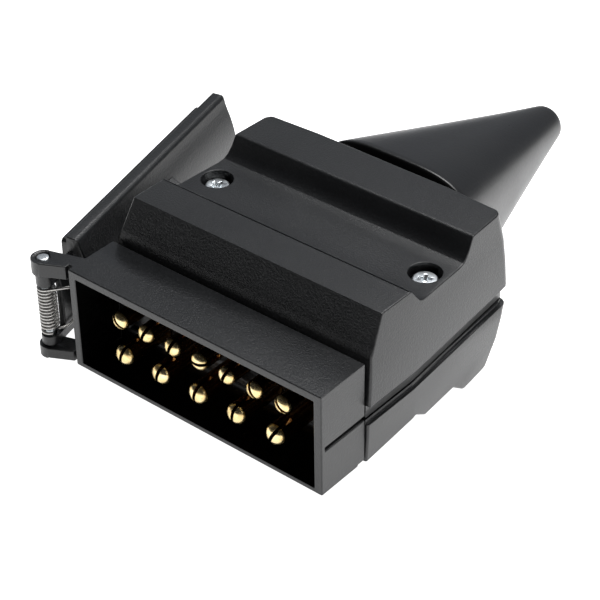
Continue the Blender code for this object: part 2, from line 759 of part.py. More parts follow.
def cover_seal():
    """The rubber seal in the cover's recess: a thin sheet with a lip that enters the mouth."""
    sheet = outline_solid(seal_outline(0.3), "Y", RIM_Y - 2.1, RIM_Y - 1.1)
    lip = outline_solid(eased(seal_outline(0.5), 1.6), "Y", RIM_Y - 1.5, RIM_Y + SEAL_REACH)
    middle = box((-26.0, RIM_Y - 1.4, -7.4), (25.7, RIM_Y + 3.0, 7.4))
    return cut(join(sheet, lip), middle)


def build():
    """Makes every sub-part."""
    plastic = material("black_plastic", (0.022, 0.024, 0.027), 0.5, 0.0)
    rubber = material("black_rubber", (0.02, 0.021, 0.022), 0.6, 0.0)
    brass = material("brass", (0.78, 0.56, 0.22), 0.25, 1.0)
    zinc = material("zinc_plated_steel", (0.72, 0.74, 0.76), 0.3, 1.0)
    steel = material("spring_steel", (0.6, 0.58, 0.53), 0.3, 1.0)

    add_object("contact_carrier", contact_carrier(), plastic)
    add_object("retainer_plate", retainer_plate(), plastic)
    add_object("upper_shell", upper_shell(), plastic)
    add_object("lower_shell", lower_shell(), plastic)
    for row_name, row in ROWS.items():
        for number, place in row_places(row):
            turn = math.radians(SLOT_TURNS[row_name][number - 1])
            add_object(f"contact_{row_name}_{number}", contact_pin(row, place, turn), brass)
            add_object(f"terminal_screw_{row_name}_{number}", terminal_screw(row, place), zinc)

    for label, side in (("left", -1), ("right", 1)):
        housing = pan_screw(
            (side * HOUSING_SCREW[0], HOUSING_SCREW[1]),
            SCREW_HEAD_RADIUS,
            SCREW_HEAD_HEIGHT,
            SCREW_SHANK_RADIUS,
            SCREW_SEAT_Z + 0.1,
            -8.6,
            0.8,
        )
        add_object(f"housing_screw_{label}", housing, zinc)
        clamp_screw = pan_screw(
            (side * CLAMP_SCREW_X, CLAMP_Y),
            2.1,
            1.4,
            1.1,
            CLAMP_BAR_Z[1] + 0.1,
            -3.6,
            0.6,
        )
        add_object(f"clamp_screw_{label}", clamp_screw, zinc)
    add_object("cable_clamp", cable_clamp(), plastic)
    add_object("boot", boot(), rubber)
    add_object("hinge_pin", hinge_pin(), zinc)
    add_object("hinge_spring", hinge_spring(), steel)

    hinge = bpy.data.objects.new("cover_hinge_axis", None)
    hinge.location = Vector((HINGE_X, HINGE_Y, 0.0)) * MM
    hinge.rotation_euler = (0.0, 0.0, math.radians(OPEN_ANGLE))
    bpy.context.scene.collection.objects.link(hinge)
    axis_point = (HINGE_X, HINGE_Y, 0.0)
    add_object("cover", cover(), plastic, hinge, axis_point)
    add_object("cover_seal", cover_seal(), rubber, hinge, axis_point)


for existing in list(bpy.data.objects):
    bpy.data.objects.remove(existing)
build()
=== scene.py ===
"""Looks for the flat 12-pin trailer plug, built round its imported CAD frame. Lengths are in millimetres."""

import json
import math

import bmesh
import bpy
from mathutils import Matrix, Vector

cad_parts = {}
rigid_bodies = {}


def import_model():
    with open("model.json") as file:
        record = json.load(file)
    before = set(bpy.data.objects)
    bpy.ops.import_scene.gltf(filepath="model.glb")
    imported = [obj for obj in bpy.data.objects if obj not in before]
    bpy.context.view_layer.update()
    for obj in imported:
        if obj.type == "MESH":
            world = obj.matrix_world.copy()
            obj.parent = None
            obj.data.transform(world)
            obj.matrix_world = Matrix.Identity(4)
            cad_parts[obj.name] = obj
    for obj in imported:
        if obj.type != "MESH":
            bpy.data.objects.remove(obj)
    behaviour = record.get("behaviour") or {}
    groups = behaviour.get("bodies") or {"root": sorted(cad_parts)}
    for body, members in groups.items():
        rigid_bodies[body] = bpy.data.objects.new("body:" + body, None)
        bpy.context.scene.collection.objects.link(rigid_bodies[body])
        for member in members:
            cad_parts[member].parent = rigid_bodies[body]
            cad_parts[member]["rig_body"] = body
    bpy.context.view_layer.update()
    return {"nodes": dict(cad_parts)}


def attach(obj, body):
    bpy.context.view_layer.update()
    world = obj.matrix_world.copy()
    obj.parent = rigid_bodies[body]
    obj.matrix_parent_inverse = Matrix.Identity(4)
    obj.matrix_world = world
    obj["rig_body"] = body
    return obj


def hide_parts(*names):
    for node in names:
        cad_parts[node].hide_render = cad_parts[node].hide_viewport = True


MM = 0.001

PLUG = "plug"
COVER = "cover_leaf"

# The hinge's axis is vertical. OPEN_TURN is from shut to open, the short way round.
HINGE_X = -40.06
HINGE_Y = -12.96
OPEN_TURN = math.radians(104.3)

# In degrees: a flatter edge than the first is never rounded, and one past the second is shaded sharp.
SHARP_EDGE = 25
SHADED_SHARP = 50

# Corners of the room inside the body and of the room inside the mouth, where the faces take painted shade.
BODY_ROOM = ((-32.4, 1.0, -9.5), (32.4, 44.0, 14.5))
MOUTH_SHADE_ROOM = ((-31.2, -12.75, -11.0), (31.2, -0.5, 10.4))
WELL_REACH = 4.0
EAR_REACH = 2.75

# Each row's side is where its terminal screws enter: 1 from above, -1 from below.
ROWS = {
    "top": {"count": 7, "pitch": 7.15, "z": 3.06, "radius": 1.97, "tip": -11.7, "side": 1},
    "bottom": {"count": 5, "pitch": 10.03, "z": -4.45, "radius": 2.25, "tip": -12.7, "side": -1},
}
SLOT_TURNS = {"top": (44, -67, -72, -5, -69, 60, 40), "bottom": (-77, -76, -80, -82, -64)}
SLOT_HALF_WIDTH = 0.35
SLOT_DEPTH = 5.0
DOME_FLATTENING = 0.75
COLLAR_FRONT, COLLAR_BACK = 3.7, 5.7
COLLAR_HEIGHT = 0.6
TAIL_RADIUS, TAIL_END = 2.3, 17.0
WIRE_HOLE_RADIUS, WIRE_HOLE_START = 1.4, 9.5
TERMINAL_RADIUS, TERMINAL_Y = 1.25, 13.4

# The riveted head's outline as (radius, height), from the middle of its crown to the shaft.
PIN_HEAD = ((0.3, 12.1), (0.9, 12.08), (1.14, 12.03), (1.26, 11.93), (1.3, 11.8), (1.3, 11.2), (1.0, 11.2))

SPRING_RADIUS = 1.7
SPRING_LOW, SPRING_HIGH = -6.3, 4.8
COIL_WIRE, LEG_WIRE = 0.32, 0.3
COIL_START, COIL_END = -300, -42 + 360 * 12

SCREW_PLACE = (27.4, 26.1)
CLAMP_SCREW_PLACE = (9.2, 36.5)

# The boot's base and tip: half width, half height, middle z and squareness.
BOOT_BASE = (20.0, 16.3, 3.74, 3.6)
BOOT_TIP = (4.35, 4.35, 1.2, 2.0)
BOOT_BASE_Y, BOOT_TIP_Y = 52.0, 110.5
BOOT_TAPER_POWER = 1.03
BOOT_POINTS = 112
BOOT_STEPS = 40
BOOT_FLANGE = (18.4, 14.2)
BOOT_FLANGE_RINGS = ((41.6, 0.3), (41.8, 0.0), (44.1, 0.0), (44.3, 0.3))
BOOT_NECK = (16.2, 12.5)
BOOT_LIP = 0.7
BOOT_TIP_ROUND = 1.3
BOOT_WALL = 2.2
BOOT_BASE_EXTRA_WALL = 1.6
BOOT_BORE = 3.1

# The plug touches the floor along its rear step, which is low, and its nose's bottom edge, which is high.
FLOOR_LOW_Y = 35.6
FLOOR_LOW_Z = -17.03
FLOOR_HIGH_Y = -15.6
FLOOR_HIGH_Z = -12.03
FLOOR_REACH = 3000.0
# The floor's own glow is painted light: it fills in shadows and is strongest near the plug.
FLOOR_PAINTED_GLOW = 1.1


# ---------------------------------------------------------------- materials


class Shader:
    """A Principled material and the few node helpers that the finishes share."""

    def __init__(self, name, colour, roughness, metallic=0.0):
        self.material = bpy.data.materials.new(name)
        self.material.use_nodes = True
        self.tree = self.material.node_tree
        self.principled = self.tree.nodes["Principled BSDF"]
        self.set("Base Color", (*colour, 1.0))
        self.set("Roughness", roughness)
        self.set("Metallic", metallic)
        self.position = self.add("ShaderNodeTexCoord").outputs["Object"]

    def add(self, kind, **settings):
        node = self.tree.nodes.new(kind)
        for key, value in settings.items():
            setattr(node, key, value)
        return node

    def set(self, socket, value):
        self.principled.inputs[socket].default_value = value

    def link(self, source, target):
        self.tree.links.new(source, target)

    def stretched(self, x=1.0, y=1.0, z=1.0):
        """The object position, scaled along each axis."""
        mapping = self.add("ShaderNodeMapping")
        mapping.inputs["Scale"].default_value = (x, y, z)
        self.link(self.position, mapping.inputs["Vector"])
        return mapping.outputs["Vector"]

    def noise(self, scale, detail=3.0, roughness=0.55, vector=None):
        node = self.add("ShaderNodeTexNoise")
        node.inputs["Scale"].default_value = scale
        node.inputs["Detail"].default_value = detail
        node.inputs["Roughness"].default_value = roughness
        self.link(vector or self.position, node.inputs["Vector"])
        return node.outputs["Fac"]

    def remap(self, source, low, high, out_low, out_high):
        node = self.add("ShaderNodeMapRange")
        limits = {"From Min": low, "From Max": high, "To Min": out_low, "To Max": out_high}
        for socket, value in limits.items():
            node.inputs[socket].default_value = value
        self.link(source, node.inputs["Value"])
        return node.outputs["Result"]

    def maths(self, operation, first, second):
        node = self.add("ShaderNodeMath", operation=operation)
        for socket, value in zip(node.inputs, (first, second)):
            if isinstance(value, (int, float)):
                socket.default_value = value
            else:
                self.link(value, socket)
        return node.outputs["Value"]

    def ramp(self, source, *stops):
        node = self.add("ShaderNodeValToRGB")
        elements = node.color_ramp.elements
        while len(elements) < len(stops):
            elements.new(0.5)
        for element, (place, colour) in zip(elements, stops):
            element.position = place
            element.color = (*colour, 1.0)
        self.link(source, node.inputs["Fac"])
        return node.outputs["Color"]

    def bump(self, layers):
        """Stacks bump layers of (height, strength, distance in metres)."""
        normal = None
        for height, strength, distance in layers:
            node = self.add("ShaderNodeBump")
            node.inputs["Strength"].default_value = strength
            node.inputs["Distance"].default_value = distance
            self.link(height, node.inputs["Height"])
            if normal:
                self.link(normal, node.inputs["Normal"])
            normal = node.outputs["Normal"]
        self.link(normal, self.principled.inputs["Normal"])

    def plug_in(self, source, socket):
        self.link(source, self.principled.inputs[socket])


def textured_plastic():
    """Black nylon with a fine spark-eroded texture, light rubbing and soft moulding variation."""
    s = Shader("textured_plastic", (0.008, 0.0084, 0.009), 0.34)
    grain = s.noise(4200.0, 2.0, 0.6)
    speckle = s.noise(2300.0, 1.0, 0.5)
    cloud = s.noise(60.0, 3.0, 0.5)
    tone = s.maths("ADD", s.maths("MULTIPLY", speckle, 0.7), s.maths("MULTIPLY", cloud, 0.3))
    colour = s.ramp(
        tone,
        (0.3, (0.0045, 0.0048, 0.0053)),
        (0.55, (0.0075, 0.008, 0.0087)),
        (0.75, (0.013, 0.0136, 0.0143)),
    )
    s.plug_in(colour, "Base Color")
    rubbing = s.maths("ADD", grain, s.maths("MULTIPLY", cloud, 0.4))
    s.plug_in(s.remap(rubbing, 0.4, 1.0, 0.27, 0.4), "Roughness")
    s.bump([(grain, 0.5, 0.00007), (speckle, 0.4, 0.00012)])
    s.set("IOR", 1.5)
    return s.material


def smooth_plastic():
    """The unseen inner mouldings: plain black with faint flow marks."""
    s = Shader("smooth_plastic", (0.004, 0.004, 0.0042), 0.35)
    flow = s.noise(140.0, 3.0, 0.5, s.stretched(0.3, 1.0, 1.0))
    s.plug_in(s.ramp(flow, (0.35, (0.003, 0.003, 0.0032)), (0.7, (0.006, 0.006, 0.0062))), "Base Color")
    s.plug_in(s.remap(flow, 0.3, 0.7, 0.28, 0.42), "Roughness")
    s.bump([(s.noise(900.0, 2.0), 0.12, 0.0001)])
    return s.material


def mouth_plastic():
    """The moulding inside the mouth: the same nylon off a smoother part of the tool, given a much darker
    colour as painted shade for the shade inside the mouth.
    """
    # Painted shade: a base colour far darker than the nylon outside stands in for the shade that falls
    # inside the mouth.
    s = Shader("mouth_plastic", (0.0012, 0.0012, 0.0013), 0.3)
    flow = s.noise(160.0, 3.0, 0.5, s.stretched(0.3, 1.0, 1.0))
    s.plug_in(s.ramp(flow, (0.35, (0.0008, 0.0008, 0.0009)), (0.7, (0.0018, 0.0018, 0.0019))), "Base Color")
    s.plug_in(s.remap(flow, 0.3, 0.7, 0.24, 0.34), "Roughness")
    s.bump([(s.noise(1800.0, 2.0), 0.1, 0.00006)])
    s.set("Specular IOR Level", 0.12)
    return s.material


def soft_rubber(name, tone, roughness):
    """Satin rubber with a faint pebble and slow tonal drift."""
    s = Shader(name, (tone, tone, tone * 1.05), roughness)
    pebble = s.noise(1400.0, 2.0, 0.5)
    drift = s.noise(45.0, 2.0, 0.5)
    colour = s.ramp(
        drift,
        (0.3, (tone * 0.8, tone * 0.8, tone * 0.86)),
        (0.7, (tone * 1.25, tone * 1.25, tone * 1.3)),
    )
    s.plug_in(colour, "Base Color")
    satin = s.maths("ADD", drift, s.maths("MULTIPLY", pebble, 0.3))
    s.plug_in(s.remap(satin, 0.4, 0.9, roughness - 0.06, roughness + 0.06), "Roughness")
    s.bump([(pebble, 0.22, 0.00008), (drift, 0.1, 0.0006)])
    return s.material


def turned_brass(name, colour, roughness, tones, dull, polished):
    """Turned brass: fine rings along the pin, and tarnish in patches, dull where it is darkest."""
    s = Shader(name, colour, roughness, 1.0)
    tarnish = s.noise(420.0, 4.0, 0.6)
    rings = s.noise(9000.0, 1.0, 0.5, s.stretched(0.02, 1.0, 0.02))
    s.plug_in(s.ramp(tarnish, *zip((0.3, 0.5, 0.75), tones)), "Base Color")
    s.plug_in(s.remap(tarnish, 0.3, 0.75, dull, polished), "Roughness")
    s.bump([(rings, 0.25, 0.00003)])
    return s.material


def dome_brass():
    """The pins' domes, kept bright by mating."""
    tones = ((0.66, 0.47, 0.2), (0.86, 0.68, 0.34), (0.94, 0.8, 0.48))
    return turned_brass("turned_brass", (0.83, 0.6, 0.24), 0.22, tones, 0.34, 0.18)


def shaded_shaft_brass():
    """The pins' shafts: the same brass in dark brown tones, painted shade for the shafts sunk in the mouth.
    """
    # Painted shade: dark brown tones stand in for the shadow on the shafts inside the mouth.
    tones = ((0.12, 0.055, 0.016), (0.24, 0.12, 0.035), (0.42, 0.23, 0.07))
    return turned_brass("tarnished_brass", (0.24, 0.12, 0.035), 0.2, tones, 0.26, 0.14)


def zinc():
    """Bright zinc plate with a faint grain and duller patches."""
    s = Shader("zinc_plate", (0.74, 0.77, 0.79), 0.28, 1.0)
    patches = s.noise(700.0, 4.0, 0.6)
    s.plug_in(
        s.ramp(patches, (0.3, (0.56, 0.6, 0.62)), (0.55, (0.76, 0.79, 0.81)), (0.8, (0.86, 0.88, 0.88))),
        "Base Color",
    )
    s.plug_in(s.remap(patches, 0.3, 0.8, 0.4, 0.2), "Roughness")
    s.bump([(s.noise(5000.0, 2.0), 0.15, 0.00003)])
    return s.material


def spring_steel():
    """Drawn wire: bright, with a faint lengthwise streak and straw tint."""
    s = Shader("drawn_wire", (0.4, 0.39, 0.38), 0.38, 1.0)
    streak = s.noise(2500.0, 3.0, 0.6, s.stretched(1.0, 1.0, 0.3))
    s.plug_in(s.ramp(streak, (0.3, (0.28, 0.27, 0.26)), (0.7, (0.52, 0.51, 0.49))), "Base Color")
    s.plug_in(s.remap(streak, 0.3, 0.7, 0.3, 0.46), "Roughness")
    s.bump([(streak, 0.12, 0.00003)])
    return s.material


# ---------------------------------------------------------------- mesh helpers


def place_object(name, mesh, finish, body, node=None, smooth=40.0):
    """Stores a bmesh in millimetres as a piece, gives it a finish, and rides it on a body."""
    bmesh.ops.scale(mesh, vec=(MM, MM, MM), verts=mesh.verts)
    bmesh.ops.recalc_face_normals(mesh, faces=mesh.faces)
    data = bpy.data.meshes.new(name)
    mesh.to_mesh(data)
    mesh.free()
    return store(name, data, finish, body, node, smooth)


def store(name, data, finish, body, node=None, smooth=40.0):
    """Links mesh data as a piece."""
    data.materials.clear()
    data.materials.append(finish)
    data.shade_smooth()
    data.set_sharp_from_angle(angle=math.radians(smooth))
    piece = bpy.data.objects.new(name, data)
    bpy.context.scene.collection.objects.link(piece)
    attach(piece, body)
    if node:
        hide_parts(node)
    return piece


def baked(piece):
    """Applies a piece's modifiers."""
    bpy.context.view_layer.update()
    evaluated = piece.evaluated_get(bpy.context.evaluated_depsgraph_get())
    data = bpy.data.meshes.new_from_object(evaluated)
    old = piece.data
    piece.modifiers.clear()
    piece.data = data
    bpy.data.meshes.remove(old)
    return piece


def combine(body, tool, operation="DIFFERENCE"):
    """An exact Boolean between two bmeshes; both are freed."""
    pair = []
    for source in (body, tool):
        bmesh.ops.recalc_face_normals(source, faces=source.faces)
        data = bpy.data.meshes.new("working")
        source.to_mesh(data)
        source.free()
        pair.append(bpy.data.objects.new("working", data))
        bpy.context.scene.collection.objects.link(pair[-1])
    modifier = pair[0].modifiers.new("combine", "BOOLEAN")
    modifier.operation = operation
    modifier.object = pair[1]
    bpy.context.view_layer.update()
    evaluated = pair[0].evaluated_get(bpy.context.evaluated_depsgraph_get())
    result = bmesh.new()
    result.from_mesh(evaluated.to_mesh())
    evaluated.to_mesh_clear()
    for used in pair:
        data = used.data
        bpy.data.objects.remove(used)
        bpy.data.meshes.remove(data)
    bmesh.ops.dissolve_limit(result, angle_limit=0.001, verts=result.verts, edges=result.edges)
    return result


def ring_mesh(rings, closed=False):
    """A skin through rings of points, capped or closed on itself."""
    mesh = bmesh.new()
    loops = [[mesh.verts.new(point) for point in ring] for ring in rings]
    if closed:
        loops.append(loops[0])
    else:
        mesh.faces.new(loops[0])
        mesh.faces.new(loops[-1])
    for first, second in zip(loops, loops[1:]):
        for i in range(len(first)):
            j = (i + 1) % len(first)
            mesh.faces.new((first[i], first[j], second[j], second[i]))
    return mesh


def circle(centre, radius, segments):
    turns = [2 * math.pi * i / segments for i in range(segments)]
    return [(centre[0] + radius * math.cos(t), centre[1] + radius * math.sin(t)) for t in turns]


def turned(profile, centre, axis, segments=48):
    """A turned solid through (radius, place along the axis) pairs. The axis is Y or Z."""
    rings = []
    for radius, along in profile:
        if axis == "Y":
            rings.append([(a, along, b) for a, b in circle(centre, radius, segments)])
        else:
            rings.append([(a, b, along) for a, b in circle(centre, radius, segments)])
    return ring_mesh(rings)


def box(low, high):
    ring = [(low[0], low[1]), (high[0], low[1]), (high[0], high[1]), (low[0], high[1])]
    return ring_mesh([[(x, y, z) for x, y in ring] for z in (low[2], high[2])])


def add_bevel(piece, width, segments, angle=None):
    """A rounded edge, by edge weight, or by angle when one is given."""
    modifier = piece.modifiers.new("edge", "BEVEL")
    modifier.width = width * MM
    modifier.segments = segments
    modifier.use_clamp_overlap = False
    modifier.miter_outer = "MITER_ARC"
    modifier.harden_normals = False
    if angle is None:
        modifier.limit_method = "WEIGHT"
    else:
        modifier.limit_method = "ANGLE"
        modifier.angle_limit = math.radians(angle)


def softened(node, weigh, width, finish, segments=3):
    """A CAD node's shape with its edges rounded. weigh gives each sharp edge a share of the width."""
    source = frame["nodes"][node]
    mesh = bmesh.new()
    mesh.from_mesh(source.data)
    bmesh.ops.remove_doubles(mesh, verts=mesh.verts, dist=2e-6)
    bmesh.ops.dissolve_limit(mesh, angle_limit=math.radians(0.4), verts=mesh.verts, edges=mesh.edges)
    bmesh.ops.triangulate(mesh, faces=mesh.faces, quad_method="BEAUTY", ngon_method="BEAUTY")
    layer = mesh.edges.layers.float.new("bevel_weight_edge")
    for edge in mesh.edges:
        if len(edge.link_faces) != 2:
            continue
        middle = (edge.verts[0].co + edge.verts[1].co) / (2 * MM)
        sharp = math.degrees(edge.calc_face_angle()) > SHARP_EDGE
        edge[layer] = weigh(middle, edge) if sharp else 0.0
    data = bpy.data.meshes.new(node + "_shape")
    mesh.to_mesh(data)
    mesh.free()
    piece = store(node + "_moulded", data, finish, source["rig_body"], node)
    add_bevel(piece, width, segments)
    baked(piece)
    piece.data.shade_smooth()
    piece.data.set_sharp_from_angle(angle=math.radians(SHADED_SHARP))
    weighted = piece.modifiers.new("normals", "WEIGHTED_NORMAL")
    weighted.keep_sharp = True
    weighted.weight = 80
    return baked(piece)


# ---------------------------------------------------------------- pieces


def within(point, room):
    """Whether a point lies between a room's two corners."""
    return all(low < value < high for low, value, high in zip(room[0], point, room[1]))


def body_edges(middle, edge):
    """Full rounding outside, less at wells, side bands and ridge ends, none inside or at the parting."""
    x, y, z = middle
    near_well = math.hypot(abs(x) - SCREW_PLACE[0], y - SCREW_PLACE[1]) < WELL_REACH
    at_parting = -1.4 < z < -0.8
    on_side_band = -3.2 < z < 2.2 and (abs(x) > 29.0 or y > 49.0)
    at_ridge_end = z > 13.0 and abs(x) > 29.0
    if within(middle, BODY_ROOM):
        return 0.0
    if near_well:
        return 0.3 if z > 16.0 else 0.0
    if at_parting:
        return 0.0
    if on_side_band:
        return 0.22
    if not edge.is_convex:
        return 0.35
    return 0.55 if at_ridge_end else 1.0


def nose_edges(middle, edge):
    """Full rounding outside, none at the pin holes or on the ears' round ends."""
    x, y, _ = middle
    at_pin_holes = abs(x) < 31.0 and y > -2
    on_ear_end = math.hypot(x - HINGE_X, y - HINGE_Y) < EAR_REACH
    if at_pin_holes or on_ear_end:
        return 0.0
    if edge.calc_length() < 1.2 * MM:
        return 0.4
    return 1.0 if edge.is_convex else 0.5


def shut_place(point):
    """Where a point of the open cover is, seen from above, with the cover shut."""
    x, y = point[0] - HINGE_X, point[1] - HINGE_Y
    along = x * math.cos(OPEN_TURN) + y * math.sin(OPEN_TURN)
    across = y * math.cos(OPEN_TURN) - x * math.sin(OPEN_TURN)
    return (HINGE_X + along, HINGE_Y + across)


def cover_edges(middle, edge):
    """A fuller rounding where the V-shaped outside meets the hinge end, less elsewhere."""
    x, y = shut_place(middle)
    if edge.calc_length() < 1.0 * MM:
        return 0.3
    at_hinge_end = -32.3 < x < -28.5 and y < -15.2
    if at_hinge_end and edge.is_convex:
        return 1.0
    return 0.75 if edge.is_convex else 0.4


def seal_edges(_, edge):
    """Even rounding, less on the short edges of the corners."""
    return 0.3 if edge.calc_length() < 1.0 * MM else 1.0


def paint_mouth_shade(nose, finish):
    """Gives the faces inside the mouth the darker finish of painted shade."""
    nose.data.materials.append(finish)
    for face in nose.data.polygons:
        if within(face.center / MM, MOUTH_SHADE_ROOM):
            face.material_index = 1


def row_places(row):
    """The pins' numbers, from the left, and their places in x and z."""
    middle = (row["count"] - 1) / 2
    return [(i + 1, ((i - middle) * row["pitch"], row["z"])) for i in range(row["count"])]


def pin_profile(radius, tip):
    """A pin's outline: domed tip, shaft, collar and tail."""
    profile = []
    for degrees in (8, 24, 38, 50, 60, 70, 80, 90):
        turn = math.radians(degrees)
        height = DOME_FLATTENING * radius * (1 - math.cos(turn))
        profile.append((radius * math.sin(turn), tip + height))
    collar = radius + COLLAR_HEIGHT
    profile += [(radius, COLLAR_FRONT), (collar, COLLAR_FRONT), (collar, COLLAR_BACK)]
    profile += [(TAIL_RADIUS, COLLAR_BACK), (TAIL_RADIUS, TAIL_END)]
    return profile


def pin_mesh(row, place, slot_turn):
    """One split pin, with its slot, its wire hole and the hole that its terminal screw enters."""
    tip = row["tip"]
    pin = turned(pin_profile(row["radius"], tip), place, "Y")
    slot = box((-4, tip - 1, -SLOT_HALF_WIDTH), (4, tip + SLOT_DEPTH, SLOT_HALF_WIDTH))
    rotation = Matrix.Rotation(math.radians(slot_turn), 3, "Y")
    bmesh.ops.rotate(slot, verts=slot.verts, cent=(0, 0, 0), matrix=rotation)
    bmesh.ops.translate(slot, verts=slot.verts, vec=(place[0], 0, place[1]))
    pin = combine(pin, slot)
    wire_hole = [(WIRE_HOLE_RADIUS, WIRE_HOLE_START), (WIRE_HOLE_RADIUS, TAIL_END + 1.0)]
    pin = combine(pin, turned(wire_hole, place, "Y", 24))
    low, high = sorted((place[1], place[1] + row["side"] * 4))
    screw_hole = [(TERMINAL_RADIUS, low), (TERMINAL_RADIUS, high)]
    return combine(pin, turned(screw_hole, (place[0], TERMINAL_Y), "Z", 24))


def paint_shaft_shade(piece, row, place, finish):
    """Keeps the dome bright and gives the shaft and the slot's walls the dark brass of painted shade."""
    piece.data.materials.append(finish)
    for face in piece.data.polygons:
        x, y, z = face.center / MM
        in_slot = math.hypot(x - place[0], z - place[1]) < 0.9 * row["radius"]
        domed = y < row["tip"] + 0.8 * row["radius"]
        lies_across = abs(face.normal.y) > 0.15
        face.material_index = 0 if domed and (lies_across or not in_slot) else 1


def contact_pins(finish, shaft_shade_finish):
    """Split pins with polished domes and shafts darkened as painted shade; each stands in its CAD pin's
    place.
    """
    for row_name, row in ROWS.items():
        for number, place in row_places(row):
            pin = pin_mesh(row, place, SLOT_TURNS[row_name][number - 1])
            name = f"contact_{row_name}_{number}"
            piece = place_object(name + "_pin", pin, finish, PLUG, name, 35)
            add_bevel(piece, 0.09, 2, 50)
            baked(piece)
            piece.data.shade_smooth()
            piece.data.set_sharp_from_angle(angle=math.radians(45))
            paint_shaft_shade(piece, row, place, shaft_shade_finish)


def cross_recess(centre, radius, top, depth, turn):
    """The cross-shaped cutter of a Phillips screw: four tapering wings."""
    half_top, half_low = 0.17 * radius, 0.1 * radius
    wing_top, wing_low = 0.62 * radius, 0.2 * radius
    cutter = None
    for quarter in range(2):
        rings = []
        for half, wing, z in ((half_low, wing_low, top - depth), (half_top, wing_top, top + 0.3)):
            rings.append([(-wing, -half, z), (wing, -half, z), (wing, half, z), (-wing, half, z)])
        blade = ring_mesh(rings)
        rotation = Matrix.Rotation(turn + quarter * math.pi / 2, 3, "Z")
        bmesh.ops.rotate(blade, verts=blade.verts, cent=(0, 0, 0), matrix=rotation)
        bmesh.ops.translate(blade, verts=blade.verts, vec=(centre[0], centre[1], 0))
        cutter = blade if cutter is None else combine(cutter, blade, "UNION")
    return cutter


def pan_screw(name, centre, head, height, shank, seat, end, turn, finish):
    """A flat-topped pan-head Phillips screw with a rounded rim and a shank with thread crests."""
    root = 0.8 * shank
    profile = [(0.35 * shank, end), (shank, end + 1.6 * shank)]
    z = end + 1.6 * shank + 0.6
    while z < seat - 3.0:
        profile += [(root, z), (shank, z + 0.3), (root, z + 0.6)]
        z += 0.75
    profile += [(shank, seat - 1.6), (shank, seat), (0.96 * head, seat), (head, seat + 0.12 * height)]
    for degrees in (0, 20, 40, 60, 75, 87):
        rim = math.radians(degrees)
        rim_radius = 0.84 * head + 0.16 * head * math.cos(rim)
        profile.append((rim_radius, seat + (0.62 + 0.38 * math.sin(rim)) * height))
    screw = turned(profile, centre, "Z")
    screw = combine(screw, cross_recess(centre, head, seat + height, 0.75 * height, turn))
    piece = place_object(name + "_screw", screw, finish, PLUG, name, 35)
    add_bevel(piece, 0.07, 2, 45)
    baked(piece)


def superellipse(y, half_width, half_height, middle, square):
    """A ring of the boot: an ellipse at square 2, nearer a rectangle above that."""
    power = 2 / square
    ring = []
    for i in range(BOOT_POINTS):
        turn = 2 * math.pi * (i + 0.5) / BOOT_POINTS
        across, up = math.cos(turn), math.sin(turn)
        ring.append((
            half_width * math.copysign(abs(across) ** power, across),
            y,
            middle + half_height * math.copysign(abs(up) ** power, up),
        ))
    return ring


def taper_ring(y, shrink=0.0, floor=0.0):
    """A ring of the boot's taper, drawn in by shrink but never below floor."""
    share = min(max((y - BOOT_BASE_Y) / (BOOT_TIP_Y - BOOT_BASE_Y), 0.0), 1.0)
    blend = share**BOOT_TAPER_POWER
    width, height, middle, square = (
        first + (last - first) * blend for first, last in zip(BOOT_BASE, BOOT_TIP)
    )
    return superellipse(y, max(width - shrink, floor), max(height - shrink, floor), middle, square)


def boot(finish):
    """The rubber boot: flange, neck, rolled lip, a long taper and a rounded tip."""
    end_y = BOOT_TIP_Y + 0.5
    _, _, middle, square = BOOT_BASE
    rings = []
    for y, inset in BOOT_FLANGE_RINGS:
        rings.append(superellipse(y, BOOT_FLANGE[0] - inset, BOOT_FLANGE[1] - inset, middle, square))
    for y in (BOOT_FLANGE_RINGS[-1][0], BOOT_BASE_Y - 0.1):
        rings.append(superellipse(y, *BOOT_NECK, middle, square))
    for degrees in (0, 30, 60, 90):
        roll = math.radians(degrees)
        y = BOOT_BASE_Y + BOOT_LIP * (1 - math.cos(roll))
        rings.append(taper_ring(y, BOOT_LIP * (1 - math.sin(roll))))
    taper_start = BOOT_BASE_Y + BOOT_LIP
    taper_end = end_y - BOOT_TIP_ROUND
    for i in range(1, BOOT_STEPS + 1):
        rings.append(taper_ring(taper_start + (taper_end - taper_start) * i / BOOT_STEPS))
    for degrees in (20, 40, 60, 80, 90):
        roll = math.radians(degrees)
        rings.append(taper_ring(taper_end + BOOT_TIP_ROUND * math.sin(roll), 1.0 - math.cos(roll)))
    for i in range(BOOT_STEPS + 1):
        y = end_y - (end_y - BOOT_BASE_Y) * i / BOOT_STEPS
        from_base = min((y - BOOT_BASE_Y) / (BOOT_TIP_Y - BOOT_BASE_Y), 1.0)
        wall = BOOT_WALL + BOOT_BASE_EXTRA_WALL * (1 - from_base)
        rings.append(taper_ring(y, wall, BOOT_BORE))
    for y in (BOOT_BASE_Y - 1.0, BOOT_FLANGE_RINGS[0][0]):
        rings.append(superellipse(y, BOOT_NECK[0] - BOOT_WALL, BOOT_NECK[1] - BOOT_WALL, middle, square))
    mesh = ring_mesh(rings, closed=True)
    place_object("boot_moulded", mesh, finish, PLUG, "boot", 50)


def hinge_pin(finish):
    """The pin through the ears: drawn shaft with flat riveted heads."""
    profile = [(r, -z) for r, z in PIN_HEAD] + [(r, z) for r, z in reversed(PIN_HEAD)]
    mesh = turned(profile, (HINGE_X, HINGE_Y), "Z", 40)
    place_object("hinge_pin_drawn", mesh, finish, PLUG, "hinge_pin")


